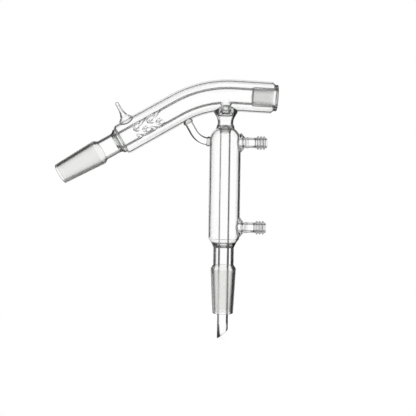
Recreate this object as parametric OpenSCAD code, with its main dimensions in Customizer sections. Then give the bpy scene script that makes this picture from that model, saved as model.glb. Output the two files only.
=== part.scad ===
// Short path distillation head with a built-in column and condenser, one fused piece of lab glass.
// Origin: centre of the wide end of the receiver cone. +Z runs up the condenser, +X to its hose
// connections, and the column leans down towards -X. Y = 0 is the plane of symmetry.

/* [Ground cones] */
// Width of a ground cone at its wide end
cone_wide_d = 24; // [22.5:0.5:26]
// How much narrower the ground zone is at its tip
cone_narrowing = 4; // [3:0.25:5]
// Length of the ground zone
cone_ground_h = 40; // [30:1:48]
// Wall of a ground cone
cone_wall = 2.1; // [1.6:0.1:2.6]
// Height of the clear shoulder behind the ground zone
cone_shoulder_h = 4; // [3:0.25:5]
// Length of the fire polished tip past the ground zone
cone_tip_h = 1.9; // [1.2:0.1:3]
// Width of the stems behind the cones
stem_d = 19.6; // [18.5:0.1:20.5]
// Wall of the stems
stem_wall = 1.8; // [1.2:0.1:2]

/* [Vapour tube] */
// Width of the inner tube from the column to the thermometer socket
tube_d = 16; // [14:0.5:17]
// Wall of the inner tube
tube_wall = 1.4; // [1:0.1:1.6]
// Radius of the bend between the column and the head
bend_r = 97; // [85:1:105]
// Slope of the column below level
column_drop = 30; // [27:0.5:33]
// Slope of the head below level
leg_drop = 2.5; // [1:0.25:4]
// Distance of the corner of the two axes from the condenser axis
corner_back = 20.7; // [18:0.1:23]

/* [Column] */
// Length of the jacketed column below the bend
column_h = 63.2; // [60:0.2:72]
// Length of the clear stem between the column seal and its cone
column_stem_h = 14.4; // [10:0.2:20]
// Height of the ring seal at the foot of the column
column_seal_h = 5; // [4:0.25:6]
// Width of the ring seal where it meets the vacuum jacket
column_seal_d = 24.2; // [23.4:0.2:25]
// Length of the rounded shoulder at the foot of the vacuum jacket
column_foot_h = 5; // [4:0.25:6.5]

/* [Indentations] */
// Rows of indentations in the column
dent_rows = 4; // [2:1:5]
// Indentations in each row
dents_per_row = 3; // [2:1:3]
// Distance between two rows
dent_pitch = 7.6; // [7.2:0.1:8.2]
// Distance of the first row below the bend
dent_start = 18.8; // [16:0.2:20]
// Lean of each indentation down the column
dent_lean = 42; // [38:1:46]
// Radius at which the tip of an indentation is centred
dent_reach = 3.2; // [2.9:0.1:3.6]
// Width of the mouth of an indentation
dent_mouth_d = 5.2; // [4.4:0.1:5.8]
// Width of its blunt tip
dent_tip_d = 1.4; // [1:0.1:1.8]
// Wall of an indentation
dent_wall = 1.1; // [0.9:0.05:1.2]

/* [Vacuum jacket] */
// Width of the vacuum jacket
jacket_d = 30; // [28:0.5:32]
// Wall of the vacuum jacket
jacket_wall = 1.6; // [1.2:0.1:1.9]
// Distance from the corner to the thermometer end of the jacket
leg_h = 67.1; // [66:0.1:72]
// Length of the chamfer at that end
end_chamfer_h = 3; // [2:0.25:4]
// Width left at the small end of the chamfer
end_chamfer_d = 24.8; // [23.6:0.2:26]

/* [Evacuation tip] */
// Distance of the sealed tip from the foot of the vacuum jacket
tip_inset = 14.5; // [13.5:0.25:17]
// Height of the sealed tip above the jacket
tip_h = 18.6; // [14:0.2:22]
// Width of its sealed end
tip_end_d = 3.5; // [3:0.1:4.5]
// Width of its flared foot
tip_foot_d = 14.5; // [12:0.25:16]
// Wall of the tip
tip_wall = 1.3; // [1:0.05:1.4]

/* [Thermometer socket] */
// Width of the ground bore at its wide end
socket_bore_d = 14.5; // [13.5:0.1:15]
// How much narrower the ground bore is at its inner end
socket_narrowing = 2; // [1.5:0.1:2.4]
// Length of the ground bore
socket_ground_h = 19; // [17:0.5:20]
// Distance from the end of the ground bore to the rim
socket_mouth_h = 2.6; // [1.5:0.1:3]
// Width of the clear mouth
socket_mouth_d = 15.4; // [15:0.1:16]
// Width of the outside of the socket
socket_d = 18.4; // [18:0.1:19.4]
// Thickness of the rim
rim_h = 2.5; // [2:0.1:3]
// Width of the rim
rim_d = 25; // [24:0.25:27]

/* [Neck] */
// Height of the neck between its two seals
neck_h = 10; // [9:0.25:12]
// Width of the neck at its waist
neck_waist_d = 14.8; // [14:0.1:15.6]
// Width of the neck where it meets the head
neck_top_d = 19.2; // [18:0.2:20.5]
// Width of the neck where it meets the condenser
neck_foot_d = 16.8; // [16:0.2:17.6]
// Wall of the neck
neck_wall = 1.5; // [1.1:0.1:1.7]
// Height of the seal between the neck and the head, below the vacuum jacket
saddle_h = 4.5; // [4:0.25:5.5]
// Width of that seal where it meets the jacket
saddle_d = 22.8; // [21.8:0.2:24]
// Width of the hole in the vacuum jacket
neck_hole_d = 18.8; // [18.2:0.2:19.6]
// Width of the spout at its waist
spout_waist_d = 9.2; // [8.4:0.1:10]
// Width of the spout where it meets the vapour tube
spout_top_d = 12.8; // [12:0.2:13.6]
// Width of the spout where it meets the neck
spout_foot_d = 16.4; // [15.8:0.2:17]
// Wall of the spout
spout_wall = 1.2; // [1:0.05:1.4]

/* [Condenser] */
// Width of the water jacket
condenser_d = 30; // [28:0.5:32]
// Wall of the water jacket
condenser_wall = 1.6; // [1.2:0.1:1.8]
// Length of the straight part of the water jacket
condenser_h = 90.9; // [80:1:110]
// Width at the top of the dome
dome_top_d = 18.4; // [18:0.1:19]
// Length of the rounded foot of the water jacket
foot_h = 4.8; // [4:0.2:6]
// Width at the end of the foot
foot_d = 24.6; // [23.8:0.2:25.6]
// Width of the condenser tube
core_d = 10.4; // [9.6:0.1:11]
// Wall of the condenser tube
core_wall = 1.1; // [0.9:0.05:1.3]
// Height of the seal at the top of the condenser
top_seal_h = 2.65; // [2:0.05:3.2]
// Depth to which the seal's funnel narrows inside the water jacket
funnel_h = 3.85; // [3:0.1:5]
// Height of the seal at the foot of the condenser
low_seal_h = 5.3; // [4.6:0.1:6]
// Thickness of the web of that seal
low_seal_web = 2.4; // [1.8:0.1:2.8]

/* [Receiver end] */
// Length of the clear stem above the receiver cone
receiver_stem_h = 16.5; // [12:0.5:22]
// Distance that the long side of the drip tube reaches below the gauge plane
drip_h = 65.5; // [60:0.5:72]
// Height of the slanted cut at the tip of the drip tube
drip_cut_h = 8; // [5:0.25:11]

/* [Hose connections] */
// Distance of the upper connection above the straight part's lower end
outlet_h = 89.9; // [78:0.5:90]
// Distance of the lower connection above that end
inlet_h = 9.3; // [9:0.1:14]
// Distance of the end of a connection from the water jacket
hose_reach = 24.7; // [22:0.1:30]
// Width of the plain tube
hose_d = 9.7; // [9:0.1:10.4]
// Width of the bore
hose_bore_d = 6.6; // [6:0.1:7.2]
// Width of the flared foot
hose_foot_d = 18.6; // [17:0.2:20]
// Length of the flared foot
hose_foot_h = 5.6; // [4.6:0.1:6.6]
// Width of the bead between the foot and the tube
hose_bead_d = 10.8; // [10.5:0.1:11.4]
// Number of ribs
hose_ribs = 3; // [1:1:4]
// Distance between two ribs
hose_rib_pitch = 2.85; // [2.6:0.05:3]
// Width of a rib
hose_rib_d = 13; // [11.6:0.1:14]

/* [Support bridge] */
// Width of the glass rod
bridge_d = 7.5; // [6.5:0.1:8.5]
// Distance of its upper end from the corner, along the column
bridge_top = 26.5; // [25.5:0.25:29]
// Distance of its lower end below the dome of the condenser
bridge_low = 0.4; // [0:0.1:3]
// Slope of its lower end below level
bridge_slope = 8; // [5:0.5:12]
// Width of the fused pads at its two ends
pad_d = 9.6; // [9.2:0.1:11]
// Thickness of the pads
pad_h = 2.7; // [2:0.1:2.9]

/* [Hidden] */
$fn = 96;
// Overrun of cuts past the faces that they open
over = 0.5;
// The same overrun at the start of the bend, in degrees
over_turn = 0.5;
// Steps in which a curved outline is drawn
curve_steps = 10;
// Turn of the full circle
full_turn = 360;
// Share of a cone's shoulder that is straight below its sloping part
shoulder_edge_share = 0.25;
// Share of a ring seal's height that is straight before it narrows
seal_edge_share = 0.3;
// Turn of the rounded shoulder at the foot of the vacuum jacket, and of the water jacket's foot
column_foot_turn = 60;
foot_turn = 30;
// Share of the shoulder's length that lies before that turn
column_foot_share = 0.25;

clear_glass = "azure";
ground_glass = "gainsboro";
seal_glass = "slategray";

cone_wide_r = cone_wide_d / 2;
cone_tip_r = cone_wide_r - cone_narrowing / 2;
stem_r = stem_d / 2;
stem_bore_r = stem_r - stem_wall;
tube_r = tube_d / 2;
tube_bore_r = tube_r - tube_wall;
jacket_r = jacket_d / 2;
jacket_bore_r = jacket_r - jacket_wall;
condenser_r = condenser_d / 2;
core_r = core_d / 2;
core_bore_r = core_r - core_wall;

// Levels up the condenser
low_seal_z = cone_shoulder_h + receiver_stem_h;
foot_z = low_seal_z + low_seal_h;
straight_z = foot_z + foot_h;
dome_z = straight_z + condenser_h;
dome_top_z = dome_z + sqrt(pow(condenser_r, 2) - pow(dome_top_d / 2, 2));
neck_z = dome_top_z + top_seal_h;
saddle_z = neck_z + neck_h;
head_z = saddle_z + saddle_h + jacket_r;

// Corner of the column and head axes
corner = [-corner_back, 0, head_z + corner_back * tan(leg_drop)];
turn = column_drop + leg_drop;
// Distance from the corner at which the bend begins and ends
bend_h = bend_r * tan(turn / 2);

// Distances from the corner down the column
column_seal_l = bend_h + column_h;
column_stem_l = column_seal_l + column_seal_h;
column_gauge_l = column_stem_l + column_stem_h + cone_shoulder_h;
column_foot_l = column_seal_l - column_foot_h;

// Distances from the corner along the head
socket_m = leg_h - socket_mouth_h - socket_ground_h;
// Length over which the vapour tube widens into the socket
socket_shoulder_h = 1.4;
// Rounding of the edges of the rim
rim_round = 0.9;

// Wall left at the end of the stub that the spout and the neck share
saddle_bore_r = neck_top_d / 2 - neck_wall;
// Share of the saddle seal's height at which it is widest
saddle_rim_share = 0.75;
// Share of the spout's length that lies above its waist
spout_waist_share = 0.42;
// Share of the neck's height that lies below its waist
neck_waist_share = 0.28;
// Level at which the saddle seal is widest
saddle_rim_z = saddle_z + saddle_rim_share * saddle_h;
spout_foot_z = saddle_z + saddle_h / 2;
spout_top_z = head_z - tube_r;
spout_waist_z = spout_top_z - spout_waist_share * (spout_top_z - spout_foot_z);

// Outline helpers: points run in order and are given as [radius, height]
function arc(centre, r, from, to) = [for (i = [0:curve_steps])
    centre + r * [cos(from + (to - from) * i / curve_steps),
        sin(from + (to - from) * i / curve_steps)]];
// Curve that leaves the wide end [r0, z0] and runs out straight at the narrow end [r1, z1]
function flare(r0, z0, r1, z1) = [for (i = [0:curve_steps])
    [r1 + (r0 - r1) * pow(1 - i / curve_steps, 2), z0 + (z1 - z0) * i / curve_steps]];
function reversed(points) = [for (i = [len(points) - 1:-1:0]) points[i]];
function grown(points, by) = [for (p = points) p + [by, 0]];

module turned(points) rotate_extrude() polygon(points);

// Frames: local +Z runs from the corner down the column, or along the head
module on_column() translate(corner) rotate([0, -(90 + column_drop), 0]) children();
module on_leg() translate(corner) rotate([0, 90 + leg_drop, 0]) children();

// Frame of the bend: local +Z is its axis, and local +X runs to its end, where the head starts
bend_end = corner + bend_h * [cos(leg_drop), 0, -sin(leg_drop)];
bend_centre = bend_end - bend_r * [sin(leg_drop), 0, cos(leg_drop)];
module on_bend() translate(bend_centre) rotate([90, 0, 0]) rotate([0, 0, 90 - leg_drop]) children();

// Solid round bar that follows the bend and then runs along the head to the distance m from the
// corner, where its last end_h narrow to the radius end_r. It starts extra degrees before the bend.
module head_form(r, m, end_r, end_h = 0, extra = 0) on_bend() {
    rotate_extrude(angle = turn + extra) translate([bend_r, 0]) circle(r = r);
    translate([bend_r, 0, 0]) rotate([90, 0, 0])
        turned([[0, 0], [r, 0], [r, m - bend_h - end_h], [end_r, m - bend_h], [0, m - bend_h]]);
}

// Male ground cone: z = 0 is its gauge plane and +Z runs to its tip
module ground_cone() {
    tip_z = cone_ground_h + cone_tip_h;
    round_r = cone_wall / 2;
    turned(concat(
        [[stem_bore_r, -cone_shoulder_h], [stem_r, -cone_shoulder_h]],
        [[cone_wide_r, -cone_shoulder_h * shoulder_edge_share], [cone_wide_r, 0],
            [cone_tip_r, cone_ground_h]],
        arc([cone_tip_r - round_r, tip_z - round_r], round_r, 0, 90),
        arc([cone_tip_r - cone_wall + round_r, tip_z - round_r], round_r, 90, 180),
        [[cone_tip_r - cone_wall, cone_ground_h], [cone_wide_r - cone_wall, 0]]));
}

module column_cone() color(ground_glass)
    on_column() translate([0, 0, column_gauge_l]) ground_cone();

module receiver_cone() color(ground_glass) mirror([0, 0, 1]) ground_cone();

module stem(h) difference() {
    cylinder(r = stem_r, h = h);
    translate([0, 0, -over]) cylinder(r = stem_bore_r, h = h + 2 * over);
}

module column_stem() color(clear_glass)
    on_column() translate([0, 0, column_stem_l]) stem(column_stem_h);

module receiver_stem() color(clear_glass) translate([0, 0, cone_shoulder_h]) stem(receiver_stem_h);

// Ring where the column's tube, its vacuum jacket and the stem are fused together
module column_ring_seal() color(seal_glass) on_column() translate([0, 0, column_seal_l])
    turned(concat(
        [[stem_bore_r, column_seal_h], [tube_bore_r, column_seal_h * seal_edge_share]],
        [[tube_bore_r, 0], [column_seal_d / 2, 0]],
        flare(column_seal_d / 2, column_seal_h * seal_edge_share, stem_r, column_seal_h)));

// One indentation: its axis enters the tube wall and leans down the column
module dent(z, angle, r_mouth, r_tip) {
    depth = (tube_r - dent_reach) / cos(dent_lean);
    lead = 2 * dent_wall;
    slope = (r_mouth - r_tip) / depth;
    rotate([0, 0, angle]) translate([tube_r, 0, z]) rotate([0, -(90 - dent_lean), 0]) {
        translate([0, 0, -lead]) cylinder(r1 = r_mouth + slope * lead, r2 = r_tip, h = depth + lead);
        translate([0, 0, depth]) sphere(r = r_tip);
    }
}

module all_dents(grow) for (row = [0:dent_rows - 1], i = [0:dents_per_row - 1])
    dent(bend_h + dent_start + row * dent_pitch,
        full_turn * (i + row / 2) / dents_per_row,
        dent_mouth_d / 2 + grow, dent_tip_d / 2 + grow);

// Inner tube of the column with rows of inward indentations
module vigreux_tube() color(clear_glass) on_column() difference() {
    union() {
        difference() {
            translate([0, 0, bend_h]) cylinder(r = tube_r, h = column_h);
            translate([0, 0, bend_h - over]) cylinder(r = tube_bore_r, h = column_h + 2 * over);
        }
        intersection() {
            translate([0, 0, bend_h]) cylinder(r = tube_r, h = column_h);
            all_dents(dent_wall);
        }
    }
    all_dents(0);
}

// Bent inner tube from the column to the thermometer socket, opened over the condenser
module vapour_tube() color(clear_glass) difference() {
    head_form(tube_r, socket_m, tube_r);
    head_form(tube_bore_r, socket_m + over, tube_bore_r, extra = over_turn);
    translate([0, 0, spout_foot_z]) cylinder(r = spout_top_d / 2 - spout_wall, h = head_z - spout_foot_z);
}

// Outline of the column's vacuum jacket, drawn in from its outside by an inset
function column_jacket_outline(inset) = let(
    seal_r = column_seal_d / 2,
    centre = [seal_r - jacket_wall / 2, column_foot_l + column_foot_h * column_foot_share])
    concat([[jacket_r - inset, bend_h]],
        arc(centre, jacket_r - centre[0] - inset, 0, column_foot_turn),
        [[seal_r - inset, column_seal_l]]);

module column_jacket() color(clear_glass) on_column() difference() {
    turned(concat(column_jacket_outline(0), reversed(column_jacket_outline(jacket_wall))));
    translate([0, 0, column_seal_l - tip_inset]) rotate([0, 90, 0])
        cylinder(r = tip_foot_d / 2 - tip_wall, h = jacket_d);
}

// Bent vacuum jacket of the head: the bend and the run to the socket, with a chamfered end
module jacket_form() head_form(jacket_r, leg_h, end_chamfer_d / 2, end_chamfer_h);
module jacket_space() head_form(jacket_bore_r, leg_h, end_chamfer_d / 2 - jacket_wall,
    end_chamfer_h, extra = over_turn);

module head_jacket() color(clear_glass) difference() {
    jacket_form();
    jacket_space();
    translate([0, 0, saddle_z]) cylinder(r = neck_hole_d / 2, h = head_z - saddle_z);
}

// Sealed stub through which the jacket was evacuated
module evacuation_tip() color(clear_glass)
    on_column() translate([0, 0, column_seal_l - tip_inset]) difference() {
        rotate([0, 90, 0]) {
            foot_r = tip_foot_d / 2;
            end_r = tip_end_d / 2;
            top_z = jacket_r + tip_h;
            outline = flare(foot_r, jacket_r, end_r, top_z - end_r);
            bore = flare(foot_r - tip_wall, jacket_r, end_r - tip_wall, top_z - 2 * tip_wall);
            turned(concat(
                [[foot_r - tip_wall, jacket_bore_r], [foot_r - tip_wall / 2, jacket_bore_r]],
                outline,
                arc([0, top_z - end_r], end_r, 0, 90),
                [[0, top_z - 2 * tip_wall]],
                reversed(bore)));
        }
        translate([0, 0, -jacket_r]) cylinder(r = jacket_r, h = jacket_d);
    }

// Ground socket for the thermometer: the bore narrows inwards from the rim
module thermometer_socket() color(ground_glass) on_leg() translate([0, 0, socket_m]) {
    deep_r = (socket_bore_d - socket_narrowing) / 2;
    ground_z = socket_ground_h;
    turned([[tube_bore_r, 0], [tube_r, 0], [socket_d / 2, socket_shoulder_h],
        [socket_d / 2, ground_z + socket_mouth_h], [socket_mouth_d / 2, ground_z + socket_mouth_h],
        [socket_bore_d / 2, ground_z], [deep_r, socket_shoulder_h]]);
}

module socket_rim() color(clear_glass) on_leg() translate([0, 0, leg_h]) {
    outer_r = rim_d / 2 - rim_round;
    inner_r = socket_mouth_d / 2 + rim_round;
    turned(concat(
        [[socket_mouth_d / 2, 0]],
        arc([outer_r, rim_round], rim_round, -90, 0),
        arc([outer_r, rim_h - rim_round], rim_round, 0, 90),
        arc([inner_r, rim_h - rim_round], rim_round, 90, 180)));
}

// Outlines of the spout: a funnel under the vapour tube that flares out again to the neck
function spout_outline(by) = concat(
    grown(flare(spout_foot_d / 2, spout_foot_z, spout_waist_d / 2, spout_waist_z), by),
    reversed(grown(flare(spout_top_d / 2, spout_top_z, spout_waist_d / 2, spout_waist_z), by)),
    [[spout_top_d / 2 + by, head_z]]);

module vapour_spout() color(clear_glass) difference() {
    turned(concat(spout_outline(0), reversed(spout_outline(-spout_wall))));
    head_form(tube_r, socket_m, tube_r);
}

// Fused glass that closes the vacuum space round the spout and joins the neck to the jacket
module neck_seal() color(seal_glass) difference() {
    union() {
        difference() {
            turned([[0, saddle_z], [neck_top_d / 2, saddle_z], [saddle_d / 2, saddle_rim_z],
                [neck_hole_d / 2, head_z - jacket_r / 2], [0, head_z - jacket_r / 2]]);
            jacket_form();
        }
        difference() {
            translate([0, 0, saddle_z]) cylinder(r = neck_hole_d / 2, h = head_z - saddle_z);
            jacket_space();
        }
    }
    turned(concat([[0, spout_foot_z]], spout_outline(0), [[0, head_z]]));
    translate([0, 0, saddle_z - over]) cylinder(r1 = saddle_bore_r + over / 2,
        r2 = spout_foot_d / 2 - spout_wall, h = spout_foot_z - saddle_z + over);
}

module neck_tube() color(clear_glass) {
    waist_z = neck_z + neck_waist_share * neck_h;
    outline = concat(flare(neck_foot_d / 2, neck_z, neck_waist_d / 2, waist_z),
        reversed(flare(neck_top_d / 2, saddle_z, neck_waist_d / 2, waist_z)));
    turned(concat(outline, reversed(grown(outline, -neck_wall))));
}

// Ring and funnel that join the neck, the water jacket and the condenser tube
module condenser_top_seal() color(seal_glass) {
    funnel_z = dome_top_z - funnel_h;
    dome_bore_r = sqrt(pow(condenser_r - condenser_wall, 2) - pow(dome_top_z - dome_z, 2));
    turned(concat(
        [[neck_foot_d / 2 - neck_wall, neck_z], [neck_foot_d / 2, neck_z]],
        [[dome_top_d / 2, dome_top_z]],
        flare(dome_bore_r, dome_top_z, core_r, funnel_z),
        [[core_bore_r, funnel_z]],
        reversed(flare(neck_foot_d / 2 - neck_wall, neck_z, core_bore_r, funnel_z + core_wall))));
}

// Outline of the water jacket from its foot to the top of its dome
function condenser_outline(inset) = concat(
    [[foot_d / 2 - inset, foot_z]],
    arc([condenser_r - foot_h, straight_z], foot_h - inset, -foot_turn, 0),
    arc([0, dome_z], condenser_r - inset, 0, asin((dome_top_z - dome_z) / (condenser_r - inset))));

module condenser_form() turned(concat([[0, foot_z]], condenser_outline(0), [[0, dome_top_z]]));

module condenser_jacket() color(clear_glass) difference() {
    turned(concat(condenser_outline(0), reversed(condenser_outline(condenser_wall))));
    for (z = [inlet_h, outlet_h]) translate([0, 0, straight_z + z]) rotate([0, 90, 0])
        cylinder(r = hose_bore_d / 2, h = condenser_d);
}

module tube(r, bore_r, h) difference() {
    cylinder(r = r, h = h);
    translate([0, 0, -over]) cylinder(r = bore_r, h = h + 2 * over);
}

module condenser_tube() color(clear_glass) {
    low_z = low_seal_z + low_seal_h / 2;
    translate([0, 0, low_z]) tube(core_r, core_bore_r, dome_top_z - funnel_h - low_z);
}

// Tube that carries the condensate through the receiver cone, cut on a slant
module drip_tube() color(clear_glass) {
    top_z = low_seal_z + low_seal_h / 2;
    slant = atan(drip_cut_h / core_d);
    difference() {
        translate([0, 0, -drip_h]) tube(core_r, core_bore_r, top_z + drip_h);
        translate([-core_r, 0, -drip_h]) rotate([0, -slant, 0])
            translate([-core_d, -core_d, -core_d]) cube([3 * core_d, 2 * core_d, core_d]);
    }
}

// Ring where the water jacket, the condenser tube and the receiver stem are fused together
module lower_ring_seal() color(seal_glass) {
    web_z = foot_z - low_seal_web;
    collar_r = core_r + core_wall;
    turned(concat(
        [[core_r, foot_z], [core_r, low_seal_z]],
        [[collar_r, low_seal_z + core_wall]],
        [[collar_r, web_z], [stem_bore_r, web_z], [stem_bore_r, low_seal_z]],
        [[stem_r, low_seal_z]],
        [[foot_d / 2, foot_z]]));
}

// One rounded rib, whose crest lies at distance x from the jacket's axis
function rib(x, valley_r, crest_r, half) = let(round_r = half / 2)
    concat([[valley_r, x - half]], arc([crest_r - round_r, x], round_r, -90, 90));

// Hose connection: a flared foot, a bead, a plain tube and ribs, along +X
module hose_connection(z) color(clear_glass) difference() {
    r = hose_d / 2;
    foot_x = condenser_r + hose_foot_h;
    end_x = condenser_r + hose_reach;
    half = hose_rib_pitch / 2;
    bead_half = (hose_bead_d - hose_d) / 2;
    end_round = (hose_d - hose_bore_d) / 4;
    first_x = end_x - hose_ribs * hose_rib_pitch;
    translate([0, 0, straight_z + z]) rotate([0, 90, 0]) turned(concat(
        [[hose_bore_d / 2, 0], [hose_d / 2, 0]],
        [[r, condenser_r / 2], [hose_foot_d / 2, condenser_r + over / 2]],
        flare(hose_foot_d / 2, condenser_r + over / 2, r, foot_x),
        [[hose_bead_d / 2, foot_x + bead_half], [r, foot_x + 2 * bead_half]],
        [for (i = [0:hose_ribs - 1]) each rib(first_x + i * hose_rib_pitch, r, hose_rib_d / 2, half)],
        [[r, end_x - half], [r, end_x - end_round], [r - end_round, end_x]],
        [[hose_bore_d / 2, end_x]]));
    condenser_form();
}

module water_outlet() hose_connection(outlet_h);
module water_inlet() hose_connection(inlet_h);

// The support bridge leaves the vacuum jacket square to it and meets the condenser at its own
// slope. Its upper straight run and the radius of its bend follow from its two ends.
bridge_from = corner + bridge_top * [-cos(column_drop), 0, -sin(column_drop)]
    + jacket_r * [sin(column_drop), 0, -cos(column_drop)];
bridge_to = [-condenser_r, 0, dome_z - bridge_low];
bridge_out = [sin(column_drop), 0, -cos(column_drop)];
bridge_in = [cos(bridge_slope), 0, -sin(bridge_slope)];
bridge_turn = 90 - column_drop - bridge_slope;
bridge_side = [cos(column_drop) - sin(bridge_slope), 0, sin(column_drop) - cos(bridge_slope)];
bridge_rest = bridge_to - bridge_from - pad_h * bridge_in;
bridge_det = bridge_out[0] * bridge_side[2] - bridge_out[2] * bridge_side[0];
bridge_run = (bridge_rest[0] * bridge_side[2] - bridge_rest[2] * bridge_side[0]) / bridge_det;
bridge_r = (bridge_out[0] * bridge_rest[2] - bridge_out[2] * bridge_rest[0]) / bridge_det;

// Frames at the two ends of the bridge: local +Z runs along the rod, away from its upper end
module at_bridge_top() translate(bridge_from) rotate([0, 180 - column_drop, 0]) children();
module at_bridge_low() translate(bridge_to) rotate([0, 90 + bridge_slope, 0]) children();

module support_bridge() color(clear_glass) at_bridge_top()
    translate([-bridge_r, 0, bridge_run]) rotate([90, 0, 0]) {
        rotate_extrude(angle = bridge_turn) translate([bridge_r, 0]) circle(r = bridge_d / 2);
        translate([bridge_r, 0, 0]) rotate([90, 0, 0])
            cylinder(r = bridge_d / 2, h = bridge_run - pad_h);
    }

// Flat pads of fused glass that seat the rod's ends on the two jackets
module bridge_top_pad() color(seal_glass) difference() {
    at_bridge_top() translate([0, 0, -pad_h]) cylinder(r = pad_d / 2, h = 2 * pad_h);
    jacket_form();
    on_column() translate([0, 0, bend_h - over]) cylinder(r = jacket_r, h = pad_d);
}

module bridge_low_pad() color(seal_glass) difference() {
    at_bridge_low() translate([0, 0, -pad_h]) cylinder(r = pad_d / 2, h = 2 * pad_h);
    condenser_form();
}

column_cone();
column_stem();
column_ring_seal();
vigreux_tube();
column_jacket();
evacuation_tip();
vapour_tube();
head_jacket();
thermometer_socket();
socket_rim();
vapour_spout();
neck_seal();
neck_tube();
condenser_top_seal();
condenser_jacket();
condenser_tube();
water_outlet();
water_inlet();
lower_ring_seal();
receiver_stem();
receiver_cone();
drip_tube();
support_bridge();
bridge_top_pad();
bridge_low_pad();
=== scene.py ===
# %% [markdown]
# # A distillation head of fused glass
# One fused piece of clear lab glass: a column with inward points inside a vacuum jacket, a bent
# head with a ground socket, and an upright condenser with two hose connections. Column and
# condenser end in ground cones. The CAD model gives every size and place, and this lesson rebuilds
# its pieces as smooth glass.

# %% Load the fixed frame
from math import asin, atan2, ceil, cos, floor, hypot, pi, radians, remainder, sin, sqrt, tan

import bmesh
import bpy
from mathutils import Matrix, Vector


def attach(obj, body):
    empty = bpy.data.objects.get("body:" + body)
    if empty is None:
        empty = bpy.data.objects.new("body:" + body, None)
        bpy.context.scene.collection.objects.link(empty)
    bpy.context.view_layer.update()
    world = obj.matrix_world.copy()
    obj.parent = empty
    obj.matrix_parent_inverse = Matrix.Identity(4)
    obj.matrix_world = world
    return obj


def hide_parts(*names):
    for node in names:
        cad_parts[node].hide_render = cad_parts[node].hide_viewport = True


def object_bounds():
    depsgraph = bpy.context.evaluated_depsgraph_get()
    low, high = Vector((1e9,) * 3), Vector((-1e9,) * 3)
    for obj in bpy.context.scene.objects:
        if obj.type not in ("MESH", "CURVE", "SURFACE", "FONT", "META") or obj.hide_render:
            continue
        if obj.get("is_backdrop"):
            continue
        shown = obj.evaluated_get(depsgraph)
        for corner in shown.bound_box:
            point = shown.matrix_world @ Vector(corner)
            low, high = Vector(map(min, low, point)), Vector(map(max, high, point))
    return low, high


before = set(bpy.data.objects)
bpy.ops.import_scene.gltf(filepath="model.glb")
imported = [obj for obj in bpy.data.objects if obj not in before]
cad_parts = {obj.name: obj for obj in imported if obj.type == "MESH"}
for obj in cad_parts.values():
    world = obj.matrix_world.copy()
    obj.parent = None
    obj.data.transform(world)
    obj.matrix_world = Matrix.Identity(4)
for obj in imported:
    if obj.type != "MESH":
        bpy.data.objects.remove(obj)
cad_box = [list(corner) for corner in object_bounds()]

# %% [markdown]
# ## Glass as a set of closed shells
# Light bends wherever it enters or leaves glass, so every piece needs an outer and an inner skin
# that close up into one shell of rings joined by bands. Where two pieces are fused, no surface
# exists on the real object. Those faces close the shell with a finish that light doesn't see.
#
# All outlines are lists of (radius, distance along the line), in millimetres.

# %% A shell made of rings and bands
MM = 0.001
# Points round a wide wall, round the neck and the hose connections, round a tube and round the rod
SIDES, NECK_SIDES, TUBE_SIDES, ROD_SIDES = 120, 72, 64, 48
CLEAR, JACKET, INNER, GROUND = "clear", "jacket", "inner", "ground"
SEAL, THICK, BOLD, SOCKET, FUSED = "seal", "thick", "bold", "socket", "fused"


class Shell:
    """The rings and faces of one piece. A ring is a list of point numbers."""

    def __init__(self):
        self.points, self.faces, self.finish, self.creases = [], [], [], []

    def ring(self, points):
        start = len(self.points)
        self.points.extend(points)
        return list(range(start, start + len(points)))

    def band(self, a, b, finish, skip=()):
        """Joins two rings, but skips the given places."""
        for j in range(len(a)):
            k = (j + 1) % len(a)
            if j not in skip:
                self.faces.append((a[j], a[k], b[k], b[j]))
                self.finish.append(finish)

    def cap(self, ring, point, finish):
        (tip,) = self.ring([point])
        for a, b in zip(ring, ring[1:] + ring[:1]):
            self.faces.append((a, b, tip))
            self.finish.append(finish)

    def crease(self, ring):
        self.creases.extend(zip(ring, ring[1:] + ring[:1]))


def arc(centre, radius, start, end, steps=10):
    """Points on an arc, with the angles in degrees."""
    turns = [radians(start + (end - start) * i / steps) for i in range(steps + 1)]
    return [(centre[0] + radius * cos(t), centre[1] + radius * sin(t)) for t in turns]


def flare(r0, s0, r1, s1, steps=12, power=2.0):
    """Points of a trumpet curve that runs out straight at its narrow end."""
    shares = [i / steps for i in range(steps + 1)]
    return [(r1 + (r0 - r1) * (1 - t) ** power, s0 + (s1 - s0) * t) for t in shares]


def finely(points, step=2.0):
    """The same outline with no side longer than the step."""
    out = [points[0]]
    for (r0, s0), (r1, s1) in zip(points, points[1:]):
        count = max(1, ceil(hypot(r1 - r0, s1 - s0) / step))
        out += [(r0 + (r1 - r0) * i / count, s0 + (s1 - s0) * i / count) for i in range(1, count)]
        out.append((r1, s1))
    return out


def straight(r, s0, s1, step=2.0):
    """Outline of a straight wall."""
    return finely([(r, s0), (r, s1)], step)


def fused(s, r0, r1):
    """A run that is a flat end, fused to another piece, at the distance s."""
    return FUSED, [(r0, s), (r1, s)]


def at_angle(size, angle):
    """A size that is either a number or a function of the angle."""
    return size(angle) if callable(size) else size


# %% [markdown]
# ## Two lines to turn the glass on
# The condenser is turned on an upright line. Column, bend and head are turned on one line that
# starts at the bend: it runs straight down the column on one side, and round the bend into the
# head on the other. Using one line for both keeps the tubes smooth where their pieces meet.

# %% The two lines
BEND_R, DROP, LEG_DROP = 97.0, radians(30), radians(2.5)
CORNER = Vector((-20.7, 0, 166.401))
SIDEWAYS = Vector((0, 1, 0))


def in_plane(angle):
    """Unit vector in the plane of symmetry, turned up from the X axis."""
    return Vector((cos(angle), 0, sin(angle)))


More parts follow.
